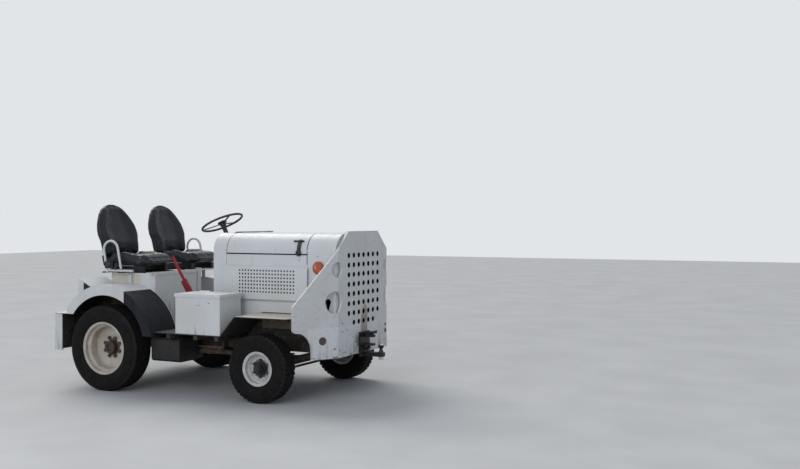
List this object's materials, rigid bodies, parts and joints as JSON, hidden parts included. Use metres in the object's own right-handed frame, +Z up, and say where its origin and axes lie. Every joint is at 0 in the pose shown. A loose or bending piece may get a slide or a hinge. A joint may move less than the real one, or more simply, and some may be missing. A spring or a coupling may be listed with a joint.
{
  "type": "aircraft pushback tractor",
  "caption": "Four-wheeled airport pushback tractor with a perforated bent push plate, a rear-hinged hood, side toolbox, open bucket seats and fenders.",
  "frame": {"origin": "on the ground under the middle of the wheelbase and of the overall length, on the centre plane", "axes": "+X forward, +Y to the driver's left, +Z up"},
  "size_m": [3.18, 1.8, 1.692],
  "materials": {
    "white_paint": "worn semi-gloss enamel",
    "chassis_paint": "dirty matt",
    "black_paint": "satin",
    "floor_paint": "dusty, worn",
    "engine_paint": "matt",
    "bare_metal": "matt",
    "red_lens": "gloss",
    "amber_lens": "gloss",
    "seat_vinyl": "satin, lightly wrinkled",
    "red_paint": "semi-gloss",
    "black_rubber": "matt",
    "wheel_plastic": "satin",
    "rim_paint": "chipped enamel with rust",
    "tyre_rubber": "dusty"
  },
  "bodies": {
    "chassis": {"frame_rails": "chassis_paint", "cross_members": "chassis_paint", "side_sills": "chassis_paint", "spring_brackets": "chassis_paint", "front_plate": "white_paint", "front_cowl": "white_paint", "hood_sides": "white_paint", "dash_cowl": "white_paint", "radiator": "bare_metal", "engine_block": "engine_paint", "exhaust": "engine_paint", "driveline": "chassis_paint", "floor_plates": "floor_paint", "running_boards": "floor_paint", "toolbox": "white_paint", "fenders": "white_paint", "tail_lamps": "red_lens", "side_lamps": "amber_lens", "rear_bumper": "white_paint", "mud_flaps": "black_rubber", "rear_hitch": "black_paint", "front_hitch": "black_paint", "seat_box": "white_paint", "seat_posts": "black_paint", "seat_frame": "black_paint", "seat_cushion_right": "seat_vinyl", "seat_cushion_left": "seat_vinyl", "seat_back_right": "seat_vinyl", "seat_back_left": "seat_vinyl", "armrests": "white_paint", "steering_column": "black_paint", "instruments": "black_paint", "brake_lever": "red_paint", "pedals": "black_paint", "fuel_tank": "black_paint", "front_axle": "chassis_paint", "leaf_springs": "chassis_paint", "spring_clamps": "chassis_paint", "rear_axle": "chassis_paint"},
    "hood": {"hood_lid": "white_paint", "hood_latches": "black_rubber"},
    "toolbox_cover": {"toolbox_lid": "white_paint"},
    "hand_wheel": {"steering_wheel": "wheel_plastic"},
    "knuckle_right": {"knuckle_right": "chassis_paint"},
    "knuckle_left": {"knuckle_left": "chassis_paint"},
    "tie_rod": {"tie_rod": "chassis_paint"},
    "wheel_front_right": {"rim_front_right": "rim_paint", "tyre_front_right": "tyre_rubber"},
    "wheel_front_left": {"rim_front_left": "rim_paint", "tyre_front_left": "tyre_rubber"},
    "wheel_rear_right": {"rim_rear_right": "rim_paint", "tyre_rear_right": "tyre_rubber"},
    "wheel_rear_left": {"rim_rear_left": "rim_paint", "tyre_rear_left": "tyre_rubber"}
  },
  "joints": [
    {"name": "hood_hinge", "type": "hinge", "parent": "chassis", "child": "hood", "pos_m": [0.243, 0, 1.432], "axis": [0, -1, 0], "range_deg": [0, 140]},
    {"name": "toolbox_hinge", "type": "hinge", "parent": "chassis", "child": "toolbox_cover", "pos_m": [0.229, -0.532, 0.905], "axis": [-1, 0, 0], "range_deg": [0, 100]},
    {"name": "steer_right", "type": "hinge", "parent": "chassis", "child": "knuckle_right", "pos_m": [0.8, -0.6, 0.291], "axis": [0, 0, 1], "range_deg": [-33, 33]},
    {"name": "steer_left", "type": "hinge", "parent": "chassis", "child": "knuckle_left", "pos_m": [0.8, 0.6, 0.291], "axis": [0, 0, 1], "range_deg": [-33, 33]},
    {"name": "tie_rod_pin", "type": "hinge", "parent": "knuckle_right", "child": "tie_rod", "pos_m": [0.65, -0.6, 0.191], "axis": [0, 0, 1], "range_deg": [-33, 33]},
    {"name": "hand_wheel_turn", "type": "hinge", "parent": "chassis", "child": "hand_wheel", "pos_m": [-0.375, 0.34, 1.514], "axis": [-0.4226, 0, 0.9063], "range_deg": [-528, 528]},
    {"name": "roll_front_right", "type": "hinge", "parent": "knuckle_right", "child": "wheel_front_right", "pos_m": [0.8, -0.718, 0.291], "axis": [0, 1, 0], "continuous": true},
    {"name": "roll_front_left", "type": "hinge", "parent": "knuckle_left", "child": "wheel_front_left", "pos_m": [0.8, 0.718, 0.291], "axis": [0, 1, 0], "continuous": true},
    {"name": "roll_rear_right", "type": "hinge", "parent": "chassis", "child": "wheel_rear_right", "pos_m": [-0.8, -0.776, 0.385], "axis": [0, 1, 0], "continuous": true},
    {"name": "roll_rear_left", "type": "hinge", "parent": "chassis", "child": "wheel_rear_left", "pos_m": [-0.8, 0.776, 0.385], "axis": [0, 1, 0], "continuous": true}
  ],
  "couplings": [
    {"joint": "steer_left", "follows": "steer_right", "ratio": 1},
    {"joint": "tie_rod_pin", "follows": "steer_right", "ratio": -1},
    {"joint": "hand_wheel_turn", "follows": "steer_right", "ratio": 16}
  ]
}
